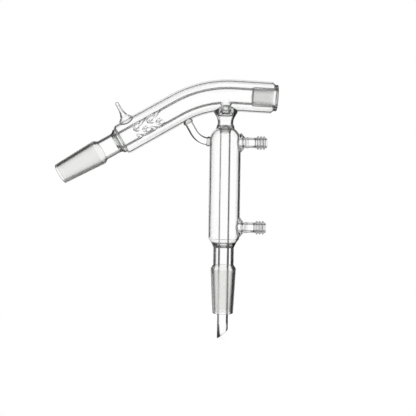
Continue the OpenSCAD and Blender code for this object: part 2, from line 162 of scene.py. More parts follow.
BEND_REACH = BEND_R * tan((DROP + LEG_DROP) / 2)
BEND_END = CORNER + BEND_REACH * in_plane(-LEG_DROP)
BEND_START = CORNER - BEND_REACH * in_plane(DROP)
BEND_CENTRE = BEND_END - BEND_R * Vector((sin(LEG_DROP), 0, cos(LEG_DROP)))
BEND_LENGTH = BEND_R * (DROP + LEG_DROP)


def upright(s, r, phi):
    """A point round the condenser's line, at the height s."""
    return Vector((r * cos(phi), r * sin(phi), s))


def bent(s, r, phi):
    """A point round the bent line, at the distance s past the start of the bend."""
    tilt = -DROP + min(max(s, 0), BEND_LENGTH) / BEND_R
    up, ahead = Vector((sin(tilt), 0, cos(tilt))), in_plane(-tilt)
    on_line = BEND_START + s * ahead if s <= 0 else BEND_CENTRE + BEND_R * up
    if s > BEND_LENGTH:
        on_line = BEND_END + (s - BEND_LENGTH) * ahead
    return on_line + r * cos(phi) * up + r * sin(phi) * SIDEWAYS


def circle(place, r, s, sides=SIDES):
    """A ring of points. Radius and distance may be numbers, or follow the angle."""
    turns = [2 * pi * j / sides for j in range(sides)]
    return [place(at_angle(s, t), at_angle(r, t), t) for t in turns]


def lathe(shell, place, runs, sides=SIDES):
    """Turns an outline, given in runs of (finish, points) that are each smooth in themselves.

    A point with the radius 0 closes the shell. So does an outline that ends where it starts."""
    outline, corners = [], set()
    for finish, points in runs:
        new = points[1:] if outline and outline[-1][1] == points[0] else points
        outline += [(finish, point) for point in new]
        corners.add(len(outline) - 1)
    closed = outline[0][1] == outline[-1][1]
    rings = [place(s, 0, 0) if r == 0 else shell.ring(circle(place, r, s, sides))
        for _, (r, s) in (outline[:-1] if closed else outline)]
    if closed:
        rings.append(rings[0])
    for number, (a, b) in enumerate(zip(rings, rings[1:]), 1):
        finish = outline[number][0]
        if isinstance(a, list) and isinstance(b, list):
            shell.band(a, b, finish)
        elif isinstance(a, list):
            shell.cap(a, b, finish)
        elif isinstance(b, list):
            shell.cap(b, a, finish)
        if number in corners and isinstance(b, list):
            shell.crease(b)


print("bend:", round(BEND_LENGTH, 2), "mm long")

# %% [markdown]
# ## The light behind the glass
# Clear glass shows what lies behind it, so it is photographed against a bright field with darkness
# round it. Light that passes nearly straight stays white, and light that an edge bends away comes
# from the dark, which draws the edge as a line. The world here does that for each direction that
# the piece is looked at from. Diffuse light stays plain and even.

# %% Help with nodes
scene = bpy.context.scene
scene.view_settings.view_transform = "Standard"
# Light crosses many walls on its way through the piece
scene.cycles.max_bounces = 40
scene.cycles.transmission_bounces = 40
scene.cycles.glossy_bounces = 12
scene.cycles.transparent_max_bounces = 48


def wire(tree, kind, inputs=None, **settings):
    """Adds a node, sets its fields, and fills or links its inputs by name or number."""
    node = tree.nodes.new(kind)
    for key, value in settings.items():
        setattr(node, key, value)
    for key, value in (inputs or {}).items():
        if isinstance(value, bpy.types.NodeSocket):
            tree.links.new(value, node.inputs[key])
        else:
            node.inputs[key].default_value = value
    return node


def math_node(tree, operation, *values):
    return wire(tree, "ShaderNodeMath", dict(enumerate(values)), operation=operation).outputs[0]


def vector_node(tree, operation, *values):
    return wire(tree, "ShaderNodeVectorMath", dict(enumerate(values)), operation=operation)


def ramp(tree, value, low, high, start=0.0, end=1.0):
    """A soft step from start to end while the value goes from low to high."""
    return wire(tree, "ShaderNodeMapRange", {"Value": value, "From Min": low, "From Max": high,
        "To Min": start, "To Max": end}, interpolation_type="SMOOTHSTEP").outputs[0]


def mix(tree, share, a, b):
    return wire(tree, "ShaderNodeMix", {0: share, 2: a, 3: b}).outputs[0]


def seen_through(tree):
    """1 for what the camera sees itself, and 1 for what it sees in or through glass."""
    path = wire(tree, "ShaderNodeLightPath").outputs
    return path["Is Camera Ray"], \
        math_node(tree, "MAXIMUM", path["Is Glossy Ray"], path["Is Transmission Ray"])


# %% [markdown]
# ## Bright fields
# Each field is a soft-edged white panel in one direction. It reaches a little past the piece, so
# that glass seen nearly straight stays clear, and only light bent past its border turns dark. The
# same group serves the world and the floor.

# %% The bright fields as a node group
# The level between the panels, the width of their soft edge, and how squarely a ray has to face a
# panel, which keeps it from showing on the opposite side as well
FIELD_DARK, FIELD_SOFT, FIELD_FRONT = 0.03, 0.18, 0.1
# Azimuth and elevation of each panel, then how far it reaches to the left, right, down and up
PANELS = [(0, 0, 26, 17, 18, 45), (45, -25, 12, 12, 19, 17), (90, -3, 20, 20, 17, 26),
    (225, -15, 20, 20, 19, 26)]
# Azimuth and elevation of a round glow, then the angles at which it is full and gone
BEHIND_CAMERA = (180, 0, 85, 105)


def compass(azimuth, elevation):
    """Unit vectors ahead, to the right and up for a direction of view."""
    a, e = radians(azimuth), radians(elevation)
    ahead = Vector((-sin(a) * cos(e), cos(a) * cos(e), sin(e)))
    right = Vector((cos(a), sin(a), 0))
    return ahead, right, right.cross(ahead)


def bright_field():
    group = bpy.data.node_groups.new("bright_field", "ShaderNodeTree")
    for socket, way, kind in (("Direction", "INPUT", "NodeSocketVector"),
            ("Dark", "INPUT", "NodeSocketFloat"), ("Level", "OUTPUT", "NodeSocketFloat")):
        group.interface.new_socket(socket, in_out=way, socket_type=kind)
    source = wire(group, "NodeGroupInput")
    towards = vector_node(group, "NORMALIZE", source.outputs["Direction"]).outputs[0]

    def along(axis):
        return vector_node(group, "DOT_PRODUCT", towards, axis).outputs["Value"]

    def off_centre(axis, ahead, low, high):
        """0 in the middle of a panel and 1 on its border, along one of its axes."""
        low, high = tan(radians(low)), tan(radians(high))
        aside = math_node(group, "DIVIDE", along(axis), ahead)
        aside = math_node(group, "ABSOLUTE", math_node(group, "SUBTRACT", aside, (low + high) / 2))
        return math_node(group, "DIVIDE", aside, (high - low) / 2)

    level = source.outputs["Dark"]
    for azimuth, elevation, left, right, down, up in PANELS:
        forwards, rightwards, upwards = compass(azimuth, elevation)
        ahead = along(forwards)
        off = math_node(group, "MAXIMUM", off_centre(rightwards, ahead, -left, right),
            off_centre(upwards, ahead, -down, up))
        panel = math_node(group, "MULTIPLY", ramp(group, off, 1.0, 1.0 + FIELD_SOFT, 1.0, 0.0),
            math_node(group, "GREATER_THAN", ahead, FIELD_FRONT))
        level = math_node(group, "MAXIMUM", level, panel)
    azimuth, elevation, full, gone = BEHIND_CAMERA
    glow = ramp(group, along(compass(azimuth, elevation)[0]), cos(radians(gone)),
        cos(radians(full)))
    wire(group, "NodeGroupOutput", {"Level": math_node(group, "MAXIMUM", level, glow)})
    return group


FIELD = bright_field()


def field_level(tree, direction):
    """Level of the bright fields in the direction that a socket gives."""
    return wire(tree, "ShaderNodeGroup", {"Direction": direction, "Dark": FIELD_DARK},
        node_tree=FIELD).outputs[0]


# %% [markdown]
# ## The world
# The camera sees plain white behind the piece, and glass sees the bright fields. All else gets an
# even light.

# %% The world
PLAIN_LIGHT = 0.95
world = bpy.data.worlds.new("studio")
scene.world = world
world.use_nodes = True
sky = world.node_tree
sky.nodes.clear()
direction = wire(sky, "ShaderNodeTexCoord").outputs["Generated"]
camera_sees, glass_sees = seen_through(sky)
level = mix(sky, glass_sees, PLAIN_LIGHT, field_level(sky, direction))
level = mix(sky, camera_sees, level, 1.0)
light = wire(sky, "ShaderNodeBackground", {"Color": level, "Strength": 1.0})
wire(sky, "ShaderNodeOutputWorld", {"Surface": light.outputs[0]})

# %% [markdown]
# ## The floor
# A plain pale sheet lies under the drip tip. It looks white to the camera, and a share of its look
# comes from real diffuse light, so that it still takes the shadow of the glass.

# %% The floor and the lamp
FLOOR_X, FLOOR_Z, FLOOR_R, FLOOR_SIDES = -40.0, -65.7, 210.0, 96
# The share of its look that glows, the level of its white, and how far below the direction of a
# place on the floor the glass sees the bright field there
FLOOR_GLOW, FLOOR_WHITE, FLOOR_DIP = 0.72, 1.14, 0.26
PAPER_GRAIN, PAPER_LOW, PAPER_HIGH, PAPER_ROUGH = 60.0, 0.86, 0.9, 0.9


def material(name):
    made = bpy.data.materials.new(name)
    made.use_nodes = True
    made.node_tree.nodes.clear()
    return made, made.node_tree


def object_from(mesh, name):
    """Uses up a bmesh and puts the object made of it into the scene."""
    data = bpy.data.meshes.new(name)
    mesh.to_mesh(data)
    mesh.free()
    made = bpy.data.objects.new(name, data)
    scene.collection.objects.link(made)
    return made


disc = bmesh.new()
bmesh.ops.create_circle(disc, cap_ends=True, radius=FLOOR_R * MM, segments=FLOOR_SIDES)
sheet = object_from(disc, "floor")
sheet.location = (FLOOR_X * MM, 0, FLOOR_Z * MM)
paper, tree = material("floor_paper")
paper_grain = wire(tree, "ShaderNodeTexNoise", {"Scale": PAPER_GRAIN, "Detail": 4.0})
paper_colour = wire(tree, "ShaderNodeMapRange", {"Value": paper_grain.outputs[0],
    "To Min": PAPER_LOW, "To Max": PAPER_HIGH})
matt = wire(tree, "ShaderNodeBsdfPrincipled", {"Base Color": paper_colour.outputs[0],
    "Roughness": PAPER_ROUGH})
camera_sees, glass_sees = seen_through(tree)
place = wire(tree, "ShaderNodeNewGeometry").outputs["Position"]
outwards = vector_node(tree, "SUBTRACT", place, (0, 0, FLOOR_Z * MM)).outputs[0]
outwards = vector_node(tree, "NORMALIZE", outwards).outputs[0]
outwards = vector_node(tree, "ADD", outwards, (0, 0, -FLOOR_DIP)).outputs[0]
white = mix(tree, camera_sees, field_level(tree, outwards), FLOOR_WHITE)
glow = wire(tree, "ShaderNodeEmission", {"Color": white, "Strength": 1.0})
share = math_node(tree, "MAXIMUM", glass_sees,
    math_node(tree, "MULTIPLY", camera_sees, FLOOR_GLOW))
blend = wire(tree, "ShaderNodeMixShader", {0: share, 1: matt.outputs[0], 2: glow.outputs[0]})
wire(tree, "ShaderNodeOutputMaterial", {"Surface": blend.outputs[0]})
sheet.data.materials.append(paper)
sheet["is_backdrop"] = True

# Place, aim, size and watts. Glass would break the lamp up into glitter, so it doesn't see it
LAMP_PLACE, LAMP_AIM, LAMP_SIZE, LAMP_POWER = (-120, -160, 620), (-60, 0, 60), 600, 0.3
lamp = bpy.data.lights.new("overhead", "AREA")
lamp.shape, lamp.size, lamp.energy = "DISK", LAMP_SIZE * MM, LAMP_POWER
holder = bpy.data.objects.new("overhead", lamp)
holder.location = Vector(LAMP_PLACE) * MM
aim = Vector(LAMP_AIM) * MM - holder.location
holder.rotation_euler = aim.to_track_quat("-Z", "Y").to_euler()
holder.visible_glossy = holder.visible_transmission = False
scene.collection.objects.link(holder)

# %% [markdown]
# ## The camera
# The photograph looks at the piece square on, from about 0.6 m. Its size is known from the cones,
# so the lens and the place of the camera follow from the width that the frame takes in.

# %% The camera
VIEW_X, VIEW_Z, DISTANCE, FRAME_WIDTH, ROLL = -15.4, 57.9, 594.0, 395.6, 0.9
SENSOR = 36
lens = bpy.data.cameras.new("view")
lens.sensor_width = SENSOR
lens.lens = SENSOR * DISTANCE / FRAME_WIDTH
viewer = bpy.data.objects.new("view", lens)
viewer.location = Vector((VIEW_X, -DISTANCE, VIEW_Z)) * MM
viewer.rotation_euler = (radians(90), -radians(ROLL), 0)
scene.collection.objects.link(viewer)
scene.camera = viewer
print("lens:", round(lens.lens, 1), "mm")

# %% [markdown]
# ## The glasses
# Drawn tube is clean and clear, with a faint waviness along it. Where a wall turns away from view,
# its colour darkens into a painted dark line. That line is painted shade for light that the edge
# bends away from the dark round the bright field, with only a trace of the glass's own colour seen
# end on. The wide jackets stay palest there, narrow tubes get a darker line, and the rod and the
# tips a bold one. The inner tubes bend light less than the rest, so that the column's points show
# as clean lines. Melted seals and thick rings are grey all through, as painted shade for thick
# glass, and ground glass is rough, with painted shade that darkens it towards its edges.

# %% Clear, fused and ground glass
GLASS_IOR, INNER_IOR = 1.47, 1.2
WAVINESS, WAVE_SCALE, WAVE_DEPTH = 0.05, 90.0, 0.0002
# Painted shade at the edges: a near black line for clear glass and a grey one for ground glass
WHITE, PAINTED_DARK_EDGE, PAINTED_MATT_EDGE = (1, 1, 1, 1), (0.01, 0.011, 0.01, 1), (0.3, 0.3, 0.29, 1)
# For each finish the name of the glass, its colours square on and at the edge, where the edge
# colour is painted shade, and how far the wall is turned away where that painted shade starts and
# is full
GLASSES = {
    CLEAR: ("clear_glass", WHITE, (0.06, 0.065, 0.06, 1), 0.36, 0.64),
    JACKET: ("jacket_glass", WHITE, (0.16, 0.165, 0.16, 1), 0.58, 0.88),
    INNER: ("inner_glass", WHITE, (0.03, 0.033, 0.03, 1), 0.33, 0.64),
    GROUND: ("ground_glass", (0.84, 0.84, 0.82, 1), PAINTED_MATT_EDGE, 0.0, 0.55),
    # Painted shade: seals and thick rings are grey all through, for the shade in thick melted
    # glass
    SEAL: ("fused_seal", (0.66, 0.68, 0.66, 1), PAINTED_DARK_EDGE, 0.15, 0.6),
    THICK: ("thick_glass", (0.54, 0.55, 0.54, 1), PAINTED_DARK_EDGE, 0.15, 0.55),
    BOLD: ("bold_glass", WHITE, (0.005, 0.006, 0.005, 1), 0.25, 0.52),
    SOCKET: ("socket_ground", (0.7, 0.7, 0.68, 1), PAINTED_MATT_EDGE, 0.0, 0.55)}
MELTED = {"wave": 160.0}
GRIT = {"rough": 0.25, "wave": 900.0, "depth": 0.00005}
APART = {INNER: {"ior": INNER_IOR}, SEAL: MELTED, THICK: MELTED, GROUND: GRIT, SOCKET: GRIT}


def painted_edge_shade(tree, clear, edge, start, full):
    """Colour of glass with painted shade that deepens where the surface turns away."""
    facing = wire(tree, "ShaderNodeLayerWeight", {"Blend": 0.5}).outputs["Facing"]
    # The colours of a mix node go in at 6 and 7 and come out at 2
    return wire(tree, "ShaderNodeMix", {0: ramp(tree, facing, start, full), 6: clear, 7: edge},
        data_type="RGBA").outputs[2]


def glass(name, clear, edge, start, full, ior=GLASS_IOR, rough=0.0, wave=WAVE_SCALE,
        depth=WAVE_DEPTH):
    made, tree = material(name)
    place = wire(tree, "ShaderNodeTexCoord").outputs["Object"]
    noise = wire(tree, "ShaderNodeTexNoise", {"Vector": place, "Scale": wave, "Detail": 3.0})
    normal = wire(tree, "ShaderNodeBump", {"Height": noise.outputs[0], "Strength": WAVINESS,
        "Distance": depth})
    body = wire(tree, "ShaderNodeBsdfPrincipled", {
        "Base Color": painted_edge_shade(tree, clear, edge, start, full), "Roughness": rough,
        "IOR": ior, "Transmission Weight": 1.0, "Normal": normal.outputs[0]})
    wire(tree, "ShaderNodeOutputMaterial", {"Surface": body.outputs[0]})
    return made


hidden_joint, tree = material("fused_joint")
nothing = wire(tree, "ShaderNodeBsdfPrincipled", {"Base Color": WHITE, "Alpha": 0.0})
wire(tree, "ShaderNodeOutputMaterial", {"Surface": nothing.outputs[0]})
MATERIALS = {finish: glass(*look, **APART.get(finish, {})) for finish, look in GLASSES.items()}
MATERIALS[FUSED] = hidden_joint

# %% [markdown]
# ## From a shell to a piece
# The bmesh module turns the rings and faces into a mesh. Sharp edges are marked where one run of
# the outline meets the next, so the shading is smooth along a wall and breaks at its corners.

# %% Making a piece


def piece(name, shell):
    """The finished piece that stands for the CAD node of that name."""
    used = [finish for finish in MATERIALS if finish in shell.finish]
    mesh = bmesh.new()
    points = [mesh.verts.new(point * MM) for point in shell.points]
    for corners, finish in zip(shell.faces, shell.finish):
        face = mesh.faces.new([points[i] for i in corners])
        face.smooth, face.material_index = True, used.index(finish)
    for a, b in shell.creases:
        edge = mesh.edges.get((points[a], points[b]))
        if edge:
            edge.smooth = False
    bmesh.ops.delete(mesh, geom=[v for v in mesh.verts if not v.link_faces], context="VERTS")
    bmesh.ops.recalc_face_normals(mesh, faces=mesh.faces)
    open_edges = sum(not edge.is_manifold for edge in mesh.edges)
    volume = mesh.calc_volume() / MM ** 3
    made = object_from(mesh, name + "_glass")
    for finish in used:
        made.data.materials.append(MATERIALS[finish])
    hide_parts(name)
    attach(made, "root")
    print(f"{name}: {len(shell.faces)} faces, {volume:.0f} mm3, {open_edges} open edges")


def turned(name, place, runs, sides=SIDES):
    """A piece that is turned from one outline."""
    shell = Shell()
    lathe(shell, place, runs, sides)
    piece(name, shell)

# %% [markdown]
# ## The ground cones
# Both cones are the same: a ground zone that narrows 1 in 10, a clear shoulder behind it, and a
# fire polished tip. Only the outside of the ground zone is matt.

# %% The ground cones
CONE_R, TIP_R, CONE_H, CONE_WALL, SHOULDER_H, TIP_H = 12, 10, 40, 2.1, 4, 1.9
STEM_R, STEM_BORE_R = 9.8, 8.0
COLUMN_SEAL_S, COLUMN_STEM_S = -63.2, -68.2
COLUMN_CONE_S = -82.6 - SHOULDER_H


def cone_runs(gauge):
    """Outline of a cone whose gauge plane is at s = gauge. It points down its line."""
    def at(points):
        return [(r, gauge - h) for r, h in points]
    tip, half, edge = CONE_H + TIP_H, CONE_WALL / 2, SHOULDER_H / 4
    tip_round = arc((TIP_R - half, tip - half), half, 0, 180, 16)
    bore = finely([(TIP_R - CONE_WALL, CONE_H), (CONE_R - CONE_WALL, 0)], 4)
    return [(FUSED, at([(STEM_BORE_R, -SHOULDER_H), (STEM_R, -SHOULDER_H)])),
        (CLEAR, at([(STEM_R, -SHOULDER_H), (STEM_R + 0.5, -SHOULDER_H + 0.4),
            (CONE_R - 0.35, -edge - 0.5), (CONE_R, -edge), (CONE_R, 0)])),
        (GROUND, at(finely([(CONE_R, 0), (TIP_R, CONE_H)], 4))),
        (CLEAR, at([(TIP_R, CONE_H)] + tip_round + bore + [(STEM_BORE_R, -SHOULDER_H)]))]


for name, place, gauge in (("column_cone", bent, COLUMN_CONE_S), ("receiver_cone", upright, 0)):
    turned(name, place, cone_runs(gauge))

# %% [markdown]
# ## The stems
# Each stem is a short length of tube between a cone and a ring seal, fused to both.

# %% The stems
# Heights on the condenser: the seal's foot, then the water jacket's foot, wall and dome
LOW_SEAL_Z, FOOT_Z, STRAIGHT_Z, DOME_Z = 20.5, 25.8, 30.6, 121.5


def stem_runs(s0, s1):
    return [(CLEAR, straight(STEM_R, s0, s1)), fused(s1, STEM_R, STEM_BORE_R),
        (CLEAR, straight(STEM_BORE_R, s1, s0)), fused(s0, STEM_BORE_R, STEM_R)]


for name, place, s0, s1 in (
        ("column_stem", bent, COLUMN_CONE_S + SHOULDER_H, COLUMN_STEM_S),
        ("receiver_stem", upright, SHOULDER_H, LOW_SEAL_Z)):
    turned(name, place, stem_runs(s0, s1))

# %% [markdown]
# ## Ring seals
# Where three tubes meet, the glassblower melts them into one thick ring, which looks dark. That
# darkness is painted shade, a grey colour all through the ring.

# %% The ring seals
TUBE_R, TUBE_BORE_R = 8.0, 6.6
CORE_R, CORE_BORE_R = 5.2, 4.1
SEAL_MID_Z, SEAL_FLARE_H = 23.15, 3.5
# The feet of the column's vacuum jacket and of the water jacket
COLUMN_FOOT_R, COLUMN_FOOT_BORE_R, FOOT_R, FOOT_BORE_R = 12.1, 10.5, 12.3, 10.7

low, top = COLUMN_STEM_S, COLUMN_SEAL_S
turned("column_ring_seal", bent, [
    fused(low, STEM_BORE_R, STEM_R),
    (SEAL, [(STEM_R, low)] + flare(COLUMN_FOOT_R, low + SEAL_FLARE_H, STEM_R, low)[::-1][1:]
        + [(COLUMN_FOOT_R, top)]),
    fused(top, COLUMN_FOOT_R, COLUMN_FOOT_BORE_R),
    (SEAL, [(COLUMN_FOOT_BORE_R, top), (9.9, top - 0.5), (8.6, top - 0.5), (TUBE_R, top)]),
    fused(top, TUBE_R, TUBE_BORE_R),
    (SEAL, [(TUBE_BORE_R, top)]
        + flare(STEM_BORE_R, low, TUBE_BORE_R, low + SEAL_FLARE_H)[::-1])])

low, top = LOW_SEAL_Z, FOOT_Z
turned("lower_ring_seal", upright, [
    fused(low, STEM_BORE_R, STEM_R),
    (THICK, [(STEM_R, low), (10.1, 21.4), (10.7, 22.6), (11.5, 24.2), (FOOT_R, top)]),
    fused(top, FOOT_R, FOOT_BORE_R),
    (THICK, [(FOOT_BORE_R, top), (10.1, top - 0.45), (6.4, top - 0.45), (5.7, top - 0.2),
        (CORE_R, top)]),
    (FUSED, [(CORE_R, top), (CORE_R, low)]),
    (THICK, [(CORE_R, low), (5.9, 21.1), (6.3, 21.8), (6.3, 22.8), (6.9, 23.4), (7.6, 23.3),
        (8.0, 22.8), (STEM_BORE_R, low)])])

# %% [markdown]
# ## The tubes through the lower seal
# The condenser tube ends in the seal and the drip tube starts there. Their walls have no surface
# of their own inside the seal. The drip tube is cut on a slant, and its lip is fire polished. Its
# painted dark edge lines are bold where it is seen directly, and faint behind the ground cone.

# %% Condenser tube and drip tube
FUNNEL_Z, DOME_TOP_Z, NECK_Z, SADDLE_Z = 129.497, 133.347, 135.997, 145.997
DRIP_Z, DRIP_CUT_H, DRIP_EVEN_Z = -65.498, 8.0, -50
GAUGE_Z, CONE_END_Z = 0, -42
turned("condenser_tube", upright, [
    (FUSED, [(CORE_R, SEAL_MID_Z), (CORE_R, FOOT_Z)]),
    (JACKET, straight(CORE_R, FOOT_Z, FUNNEL_Z)),
    fused(FUNNEL_Z, CORE_R, CORE_BORE_R),
    (JACKET, straight(CORE_BORE_R, FUNNEL_Z, SEAL_MID_Z)),
    fused(SEAL_MID_Z, CORE_BORE_R, CORE_R)], TUBE_SIDES)


def slanted(rise):
    """Height of the cut at each side of the tube, raised by a distance."""
    return lambda phi: DRIP_Z + rise + DRIP_CUT_H * (1 + cos(phi)) / 2


lip = [(r, slanted(rise)) for r, rise in
    ((CORE_BORE_R, 0.5), (4.35, 0.1), (4.7, 0), (4.98, 0.1), (CORE_R, 0.5))]
turned("drip_tube", upright, [
    (FUSED, [(CORE_R, LOW_SEAL_Z), (CORE_R, SEAL_MID_Z), (CORE_BORE_R, SEAL_MID_Z)]),
    (BOLD, straight(CORE_BORE_R, SEAL_MID_Z, GAUGE_Z)),
    (JACKET, straight(CORE_BORE_R, GAUGE_Z, CONE_END_Z)),
    (BOLD, straight(CORE_BORE_R, CONE_END_Z, DRIP_EVEN_Z) + lip
        + straight(CORE_R, DRIP_EVEN_Z, CONE_END_Z)),
    (JACKET, straight(CORE_R, CONE_END_Z, GAUGE_Z)),
    (BOLD, straight(CORE_R, GAUGE_Z, LOW_SEAL_Z))], TUBE_SIDES)

# %% [markdown]
# ## Where a tube opens into another
# A hole in a curved wall can't be a row of rings. So the grid of that wall gets a window, and the
# window is filled with loops that run from its square edge to the round hole. All their points lie
# on the wall itself, which keeps it smooth.

# %% Walls with windows


def radius_at(points, s):
    """Radius of an outline at the distance s. Its points run upwards."""
    for (r0, s0), (r1, s1) in zip(points, points[1:]):
        if s <= s1:
            return r0 + (r1 - r0) * (s - s0) / max(s1 - s0, 1e-9)
    return points[-1][0]


def stations_of(start, *spans):
    """Distances along a wall. Each span is given as its end and its step."""
    out = [start]
    for end, step in spans:
        count = max(1, round((end - start) / step))
        out += [start + (end - start) * i / count for i in range(1, count + 1)]
        start = end
    return out


def window(s, phi, half, wall_r, *loops):
    """A window as long as it is wide, in a wall of that radius, with the loops of the outer and
    of the inner skin. A loop has a function from angle to place, a finish and a step count."""
    return s, phi, half, asin(half / wall_r), loops


def wall(shell, skin, place, points, stations, windows, finish):
    """One skin of a tube. Returns its first and last ring, and the edge of each hole."""
    rings = [shell.ring(circle(place, radius_at(points, s), s)) for s in stations]
    step, cut, holes = 2 * pi / SIDES, {}, []
    for s, phi, half, spread, loops in windows:
        i0 = max(i for i, at in enumerate(stations) if at <= s - half)
        i1 = min(i for i, at in enumerate(stations) if at >= s + half)
        j0, j1 = floor((phi - spread) / step), ceil((phi + spread) / step)
        cut.update({i: {j % SIDES for j in range(j0, j1)} for i in range(i0, i1)})
        border = [(i0, j) for j in range(j0, j1)] + [(i, j1) for i in range(i0, i1)] \
            + [(i1, j) for j in range(j1, j0, -1)] + [(i, j0) for i in range(i1, i0, -1)]
        here = [(stations[i], j * step) for i, j in border]
        ring = [rings[i][j % SIDES] for i, j in border]
        angles = [atan2(a - s, radius_at(points, s) * (b - phi)) for a, b in here]
        for loop, look, count in loops[skin]:
            there = [loop(angle) for angle in angles]
            for n in range(1, count + 1):
                between = [(a0 + (a1 - a0) * n / count, b0 + (b1 - b0) * n / count)
                    for (a0, b0), (a1, b1) in zip(here, there)]
                new = shell.ring([place(a, radius_at(points, a), b) for a, b in between])
                shell.band(ring, new, look)
                ring = new
            here = there
        holes.append(ring)
    for i, (a, b) in enumerate(zip(rings, rings[1:])):
        shell.band(a, b, finish, cut.get(i, ()))
    return [rings[0], rings[-1]] + holes


def walled(name, place, outlines, stations, windows=(), finish=JACKET, holes=CLEAR):
    """A piece with an outer and an inner skin, joined at its ends and through its holes."""
    shell = Shell()
    skins = [wall(shell, skin, place, points, stations, windows, finish)
        for skin, points in enumerate(outlines)]
    for number, (a, b) in enumerate(zip(*skins)):
        at_end = number < 2
        shell.band(a, b, FUSED if at_end else holes)
        if at_end or holes != JACKET:
            shell.crease(a)
            shell.crease(b)
    piece(name, shell)


# %% [markdown]
# ## The water jacket
# A wide tube with a dome above and a tapered foot below. Two holes lead to the hose connections.
# Round each hole lies the foot of its connection, and no surface is left between the two.

# %% The water jacket
JACKET_R, JACKET_BORE_R = 14.994, 13.4
DOME_TOP_R, DOME_TOP_BORE_R = 9.2, 6.262
HOSE_Z = (120.5, 39.9)
HOSE_BORE_R, HOSE_R, HOSE_FOOT_R, HOSE_WINDOW = 3.3, 4.85, 9.3, 9.9
# The underside of a connection's foot is a cone. It starts at this X and runs out by this much
FOOT_CONE_X, FOOT_CONE_RUN = 7.5, 7.75


def jacket_outline(wall_r, corner_r, foot_r, dome_angle, top_r):
    """One skin of the jacket: a tapered foot, a round corner, a straight wall and a dome."""
    return [(foot_r, FOOT_Z)] + arc((wall_r - corner_r, STRAIGHT_Z), corner_r, -30, 0) \
        + arc((0, DOME_Z), wall_r, 0, dome_angle, 40)[:-1] + [(top_r, DOME_TOP_Z)]


jacket_outside = jacket_outline(JACKET_R, 4.8, FOOT_R, 52.17, DOME_TOP_R)
jacket_inside = jacket_outline(JACKET_BORE_R, 3.2, FOOT_BORE_R, 62.15, DOME_TOP_BORE_R)


def bisect(low, high, level):
    """Where a rising level passes zero between two bounds."""
    for _ in range(40):
        middle = (low + high) / 2
        low, high = (middle, high) if level(middle) < 0 else (low, middle)
    return (low + high) / 2


def meeting(low, high, gap):
    """Radius, for each angle, at which a rising gap(r, x, y) passes zero."""
    return lambda phi: bisect(low, high, lambda r: gap(r, r * cos(phi), r * sin(phi)))


def fitted(radius, level):
    """A ring on a surface that has the height level(x, y), as (radius, height) by angle."""
    def height(phi):
        r = at_angle(radius, phi)
        return level(r * cos(phi), r * sin(phi))
    return radius, height


def jacket_face(y, z):
    """How far the water jacket's wall stands out along X at that place."""
    return sqrt(max(0.0, radius_at(jacket_outside, z) ** 2 - y * y))


def foot_radius(z0):
    """Radius at which the underside of a connection's foot meets the jacket."""
    def gap(r, y, z):
        share = (r - HOSE_R) / (HOSE_FOOT_R - HOSE_R)
        return FOOT_CONE_X + share * FOOT_CONE_RUN - jacket_face(y, z0 + z)
    return meeting(HOSE_R, HOSE_FOOT_R, gap)


def side_loop(z0, radius, outline):
    """A round hole seen along X, as places (s, phi) on the jacket."""
    def loop(angle):
        r = at_angle(radius, angle)
        y, z = r * cos(angle), z0 + r * sin(angle)
        return z, asin(y / radius_at(outline, z))
    return loop


spots = stations_of(FOOT_Z, (STRAIGHT_Z, 0.4), (108, 1.6), (DOME_Z, 0.9), (130, 0.5),
    (DOME_TOP_Z, 0.2))
walled("condenser_jacket", upright, (jacket_outside, jacket_inside), spots, [
    window(z, 0, HOSE_WINDOW, JACKET_R,
        [(side_loop(z, foot_radius(z), jacket_outside), JACKET, 3),
            (side_loop(z, HOSE_BORE_R, jacket_outside), FUSED, 4)],
        [(side_loop(z, HOSE_BORE_R, jacket_inside), JACKET, 7)]) for z in HOSE_Z])

# %% [markdown]
# ## The hose connections
# Each is blown from one tube: a flared foot, a small bead, and ribs that hold the hose. The foot
# ends on the curve of the water jacket, so its lowest ring is fitted to that curve.

# %% The hose connections
FLARE_X, FLARE_END_X, HOSE_BORE_X, RIBS_X, HOSE_END = 15.4, 20.4, 20, 26, 39.7
BEAD_X, BEAD_ROUND, LIP_ROUND = 21.05, 0.95, 0.78
RIBS, RIB_R, RIB_ROUND, RIB_PITCH = 3, 6.5, 0.75, 2.85


def sideways(z0):
    return lambda s, r, phi: Vector((s, r * cos(phi), z0 + r * sin(phi)))


def on_jacket(z0, radius):
    return fitted(radius, lambda y, z: jacket_face(y, z0 + z))


ribs = []
for number in range(RIBS, 0, -1):
    middle = HOSE_END - number * RIB_PITCH
    ribs += [(HOSE_R + 0.1, middle - 1.42), (HOSE_R + 0.35, middle - 1.1)] \
        + arc((RIB_R - RIB_ROUND, middle), RIB_ROUND, -80, 80, 8) \
        + [(HOSE_R + 0.35, middle + 1.1)]
bead = arc((HOSE_R - 0.4, BEAD_X), BEAD_ROUND, -60, 60, 8) + [(HOSE_R, 22.1), (HOSE_R, RIBS_X)]
lip = [(HOSE_R + 0.02, HOSE_END - 1.3)] \
    + arc((HOSE_R - LIP_ROUND, HOSE_END - LIP_ROUND), LIP_ROUND, 0, 180, 12)
bore = [(HOSE_BORE_R, x) for x in (HOSE_END - 1.5, RIBS_X, HOSE_BORE_X)]
for name, z0 in zip(("water_outlet", "water_inlet"), HOSE_Z):
    foot_edge, bore_edge = on_jacket(z0, foot_radius(z0)), on_jacket(z0, HOSE_BORE_R)
    foot = [foot_edge, (9.1, 15.05)] + flare(HOSE_FOOT_R, FLARE_X, HOSE_R, FLARE_END_X, 14)
    turned(name, sideways(z0), [
        (JACKET, foot), (CLEAR, foot[-1:] + bead + ribs + lip + bore),
        (JACKET, [bore[-1], bore_edge]),
        (FUSED, [bore_edge, on_jacket(z0, 5.0), on_jacket(z0, 6.5), foot_edge])], NECK_SIDES)

